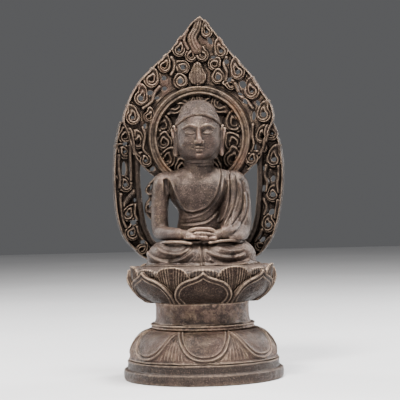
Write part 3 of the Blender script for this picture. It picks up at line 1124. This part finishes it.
class Shader:
    """A material built from textures; every factor comes from a texture or a point attribute."""

    def __init__(self, name):
        self.mat = bpy.data.materials.new(name)
        self.mat.use_nodes = True
        self.tree = self.mat.node_tree
        self.bsdf = self.tree.nodes["Principled BSDF"]
        self.place = self.tree.nodes.new("ShaderNodeTexCoord").outputs["Object"]

    def link(self, source, target):
        self.tree.links.new(source, target)

    def node(self, kind, **inputs):
        """A node with its inputs set, or linked where the value is another node's output."""
        n = self.tree.nodes.new("ShaderNode" + kind)
        for key, value in inputs.items():
            socket = n.inputs[key.replace("_", " ")]
            if isinstance(value, bpy.types.NodeSocket):
                self.link(value, socket)
            else:
                socket.default_value = value
        return n

    def noise(self, scale, detail=4, rough=0.55, lo=0.4, hi=0.6, low=0.0, high=1.0, warp=0.0):
        n = self.node("TexNoise", Vector=self.place, Scale=scale, Detail=detail, Roughness=rough,
                      Distortion=warp)
        return self.range(n.outputs["Fac"], lo, hi, low, high)

    def cells(self, scale, lo, hi):
        n = self.node("TexVoronoi", Vector=self.place, Scale=scale)
        return self.range(n.outputs["Distance"], lo, hi)

    def range(self, value, lo, hi, low=0.0, high=1.0):
        n = self.node("MapRange", Value=value, From_Min=lo, From_Max=hi, To_Min=low, To_Max=high)
        n.interpolation_type = "SMOOTHSTEP"
        return n.outputs["Result"]

    def point(self, name, lo, hi, low=0.0, high=1.0):
        n = self.node("Attribute")
        n.attribute_name = name
        return self.range(n.outputs["Fac"], lo, hi, low, high)

    def times(self, a, b):
        n = self.node("Math")
        n.operation = "MULTIPLY"
        self.link(a, n.inputs[0])
        self.link(b, n.inputs[1])
        return n.outputs["Value"]

    def blend(self, factor, a, b):
        n = self.node("Mix")
        n.data_type = "RGBA"
        self.link(factor, n.inputs[0])
        ins = [s for s in n.inputs if s.type == "RGBA"]
        for value, socket in ((a, ins[0]), (b, ins[1])):
            if isinstance(value, tuple):
                socket.default_value = (*value, 1)
            else:
                self.link(value, socket)
        return [s for s in n.outputs if s.type == "RGBA"][0]

    def bump(self, height, strength, distance, under=None):
        n = self.node("Bump", Strength=strength, Distance=distance, Height=height)
        if under is not None:
            self.link(under, n.inputs["Normal"])
        return n.outputs["Normal"]


SOOT = (0.012, 0.009, 0.008)
RUST = (0.23, 0.115, 0.06)
RUSSET = (0.135, 0.072, 0.056)


def old_bronze(name, dark, mid, light, worn=(0.50, 0.37, 0.27), dust=(0.26, 0.185, 0.12),
               rough=(0.36, 0.60), grain=1.0, wear=1.0, specular=0.40):
    """Cast bronze under a brown patina: pale where it is rubbed, dark and dusty in the hollows."""
    s = Shader(name)
    color = s.blend(s.noise(46, 6, 0.62, 0.38, 0.62, warp=0.4), dark, mid)
    color = s.blend(s.noise(210, 5, 0.6, 0.47, 0.66, 0.0, 0.75), color, light)
    color = s.blend(s.noise(28, 4, 0.6, 0.46, 0.64, 0.0, 0.55, 0.5), color, RUSSET)
    color = s.blend(s.times(s.noise(95, 5, 0.6, 0.48, 0.62), s.noise(600, 3, 0.6, 0.4, 0.62)), color, dust)
    color = s.blend(s.times(s.point("warm", 0.05, 0.9), s.noise(160, 5, 0.65, 0.36, 0.62)), color, RUST)
    hollow = s.times(s.point("hollow", 0.12, 0.85), s.noise(300, 3, 0.6, 0.25, 0.6, 0.55, 1.0))
    color = s.blend(hollow, color, SOOT)
    settled = s.times(s.point("hollow", 0.05, 0.4), s.noise(120, 4, 0.6, 0.5, 0.68, 0.0, 0.55))
    color = s.blend(settled, color, dust)
    color = s.blend(s.point("dim", 0.0, 1.0, 0.0, 0.93), color, SOOT)
    rubbed = s.times(s.point("edge", 0.10, 0.75, 0.0, 0.85 * wear), s.noise(240, 4, 0.65, 0.34, 0.6, 0.25))
    rubbed = s.times(rubbed, s.point("dim", 0.4, 1.0, 1.0, 0.7))
    color = s.blend(rubbed, color, worn)
    color = s.blend(s.point("shade", 0.15, 1.0, 0.0, 0.85), color, SOOT)
    color = s.blend(s.noise(1300, 3, 0.7, 0.40, 0.50, 0.42, 0.0), color, SOOT)
    color = s.blend(s.noise(1500, 3, 0.7, 0.55, 0.68, 0.0, 0.5), color, light)
    s.link(color, s.bsdf.inputs["Base Color"])
    s.bsdf.inputs["Metallic"].default_value = 0.55
    s.bsdf.inputs["Specular IOR Level"].default_value = specular
    s.link(s.noise(180, 5, 0.65, 0.35, 0.65, rough[1], rough[0]), s.bsdf.inputs["Roughness"])
    normal = s.bump(s.noise(330, 5, 0.65, 0.3, 0.7), 0.30 * grain, 0.0010)
    normal = s.bump(s.noise(1250, 4, 0.7, 0.3, 0.7), 0.40 * grain, 0.0004, normal)
    normal = s.bump(s.cells(420, 0.0, 0.22), 0.30 * grain, 0.0005, normal)
    s.link(normal, s.bsdf.inputs["Normal"])
    return s.mat


def plain_metal(name, dark, light, metallic, rough):
    """Unpatinated or rusty metal of the hidden fixings."""
    s = Shader(name)
    color = s.blend(s.noise(120, 6, 0.65, 0.38, 0.62), dark, light)
    color = s.blend(s.noise(900, 3, 0.6, 0.52, 0.7, 0.0, 0.6), color, dark)
    s.link(color, s.bsdf.inputs["Base Color"])
    s.bsdf.inputs["Metallic"].default_value = metallic
    s.link(s.noise(260, 4, 0.6, 0.35, 0.65, rough[0], rough[1]), s.bsdf.inputs["Roughness"])
    normal = s.bump(s.noise(500, 5, 0.65, 0.3, 0.7), 0.35, 0.0005)
    s.link(s.bump(s.noise(1800, 3, 0.6, 0.3, 0.7), 0.3, 0.0002, normal), s.bsdf.inputs["Normal"])
    return s.mat


WARM = [(30, 30, 214, 9, 0.8), (24, 30, 222, 7, 0.5), (-25, 30, 176, 9, 0.8), (28, 30, 176, 9, 0.9),
        (-27, 28, 256, 6, 0.6), (-62, 25, 192, 8, 0.4), (34, -22, 98, 9, 0.7), (42, -12, 96, 7, 0.7),
        (22, -30, 104, 8, 0.5), (-40, -14, 106, 6, 0.4), (-50, 20, 202, 6, 0.3), (54, 25, 190, 6, 0.3),
        (-40, -28, 34, 6, 0.7), (20, -48, 30, 8, 0.3), (-12, -36, 55, 8, 0.3)]


def dimness(name, x, y, z):
    """How far the patina has stayed dark: under the lotus and behind the figure."""
    r, ring = np.hypot(x, y), np.hypot(x - HALO_X, z - HALO_Z)
    if "petals" in name:
        return 1 + 0 * x
    if "seat" in name:
        return ramp(r, SEAT_R - 3, SEAT_R - 1) * ramp(z, SEAT_Z - 1.5, SEAT_Z - 3.5)
    if "body_nimbus" in name:
        return 0.95 + 0 * x
    if "head_nimbus" in name:
        return 0.38 + 0.5 * ramp(ring, 36, 33) + 0.45 * ramp(z, 222, 178) * ramp(ring, 43, 45)
    return (0.60 if "plinth" in name else 0.15 if "lower" in name else 0.0) + 0 * x


def marks():
    """Marks where copper-red corrosion has come through, and where the patina stays dark."""
    for piece in PIECES.values():
        co = per_point(piece.data, "co") / MM
        value = np.zeros(len(co), np.float32)
        for x, y, z, r, amount in WARM:
            value += amount * np.exp(-((co - (x, y, z)) ** 2).sum(1) / (r * r))
        note(piece.data, "warm", value)
        note(piece.data, "dim", dimness(piece.name, *co.T))


# ---------------------------------------------------------------- build

rng = np.random.default_rng(7)
make_plinth(rng)
make_lower_lotus(rng)
make_waist(rng)
petal_row("outer_petals", rng, OUTER_PETAL, 0, 0.0, 2.6, outer_relief)
petal_row("inner_petals", rng, INNER_PETAL, HALF_PITCH, 3.2, 1.9, inner_relief)
make_seat(rng)
make_legs(rng)
make_torso(rng)
make_right_arm(rng)
make_left_arm(rng)
make_hands(rng)
make_head(rng)
make_hair(rng)
make_head_nimbus(rng)
make_body_nimbus(rng)
shade_pieces()
marks()

BROWN = (0.032, 0.020, 0.015), (0.128, 0.074, 0.053), (0.30, 0.195, 0.146)
PATINA = {
    "pedestal": old_bronze("pedestal_bronze", *BROWN),
    "petals": old_bronze("petal_bronze", *BROWN, specular=0.05),
    "seat": old_bronze("seat_bronze", (0.070, 0.047, 0.037), (0.230, 0.150, 0.115), (0.46, 0.33, 0.265)),
    "figure": old_bronze("figure_bronze", (0.047, 0.029, 0.022), (0.168, 0.102, 0.078), (0.38, 0.255, 0.196),
                         rough=(0.32, 0.54), grain=0.8),
    "hair": old_bronze("hair_bronze", (0.062, 0.041, 0.033), (0.210, 0.137, 0.108), (0.44, 0.310, 0.250),
                       rough=(0.40, 0.62), grain=1.8),
    "mandorla": old_bronze("mandorla_bronze", (0.018, 0.013, 0.010), (0.066, 0.046, 0.035),
                           (0.160, 0.120, 0.093), worn=(0.33, 0.24, 0.176), dust=(0.12, 0.084, 0.052),
                           rough=(0.40, 0.62), wear=0.75, specular=0.12),
    "inside": old_bronze("bowl_bronze", (0.030, 0.023, 0.020), (0.070, 0.052, 0.045), (0.14, 0.11, 0.095)),
}
PLAIN = {
    "iron": plain_metal("forged_iron", (0.035, 0.030, 0.028), (0.14, 0.075, 0.045), 0.6, (0.5, 0.75)),
    "base": plain_metal("base_plate_bronze", (0.10, 0.065, 0.035), (0.26, 0.18, 0.10), 0.75, (0.4, 0.65)),
}


# words in a piece's name and the patina they stand for; the first that fits counts
KINDS = (("nimbus", "mandorla"), ("seat", "seat"), ("petals", "petals"), ("hair", "hair"), ("legs", "figure"),
         ("torso", "figure"), ("arm", "figure"), ("hands", "figure"), ("head", "figure"), ("", "pedestal"))
for name, piece in PIECES.items():
    kind = next(kind for word, kind in KINDS if word in name)
    piece.data.materials.clear()
    piece.data.materials.append(PATINA[kind])

for material, nodes in (
        (PATINA["inside"], ("lotus_bowl", "petal_rivets")),
        (PATINA["mandorla"], ("nimbus_rivets",)),
        (PLAIN["base"], ("base_plate",)),
        (PLAIN["iron"], ("tie_rod", "tie_nut", "tie_washer", "strongback", "base_plate_pins", "neck_dowel",
                         "arm_pins"))):
    for node in nodes:
        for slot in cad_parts[node].material_slots:
            slot.material = material


# ---------------------------------------------------------------- floor, light and camera

bpy.ops.mesh.primitive_plane_add(size=6, location=(0, 0, 0))
floor = bpy.context.object
floor.name = "floor"
cloth = Shader("floor_paint")
cloth.link(cloth.blend(cloth.noise(3, 4, 0.5, 0.3, 0.7), (0.52, 0.53, 0.55), (0.56, 0.57, 0.59)),
           cloth.bsdf.inputs["Base Color"])
cloth.bsdf.inputs["Roughness"].default_value = 0.7
floor.data.materials.append(cloth.mat)

world = bpy.data.worlds.new("studio")
bpy.context.scene.world = world
world.use_nodes = True
world.node_tree.nodes["Background"].inputs["Color"].default_value = (0.84, 0.85, 0.88, 1)
world.node_tree.nodes["Background"].inputs["Strength"].default_value = 0.13


MIDDLE = Vector((0, 0, 0.15))


def softbox(name, at, size, power, color):
    """A rectangular lamp that points at the middle of the statue."""
    light = bpy.data.lights.new(name, "AREA")
    light.shape = "RECTANGLE"
    light.size, light.size_y = size
    light.energy = power
    light.color = color
    lamp = bpy.data.objects.new(name, light)
    lamp.location = at
    lamp.rotation_euler = (MIDDLE - Vector(at)).to_track_quat("-Z", "Y").to_euler()
    bpy.context.collection.objects.link(lamp)


softbox("key", (-0.32, -0.72, 1.2), (0.32, 0.32), 54, (1.0, 0.95, 0.89))
softbox("top", (0.25, -0.12, 1.3), (0.5, 0.35), 44, (1.0, 0.97, 0.94))
softbox("fill", (0.9, -0.85, 0.45), (0.5, 0.6), 5, (0.97, 0.97, 1.0))
softbox("rim_left", (-0.9, 0.55, 0.6), (0.3, 0.7), 17, (1.0, 0.98, 0.96))
softbox("rim_right", (0.9, 0.6, 0.55), (0.3, 0.7), 17, (1.0, 0.98, 0.96))

AIM = Vector((0, 0, 0.144))
DISTANCE = 1.2
AZIMUTH = math.radians(-1.0)
ROLL = math.radians(-1.3)
camera = bpy.data.objects.new("camera", bpy.data.cameras.new("camera"))
bpy.context.collection.objects.link(camera)
camera.location = AIM + DISTANCE * Vector((math.sin(AZIMUTH), -math.cos(AZIMUTH), 0))
level = (AIM - camera.location).to_track_quat("-Z", "Y")
camera.rotation_euler = (level @ Quaternion((0, 0, 1), ROLL)).to_euler()
camera.data.sensor_width = 36
camera.data.lens = 132.8
camera.data.clip_start = 0.05
bpy.context.scene.camera = camera
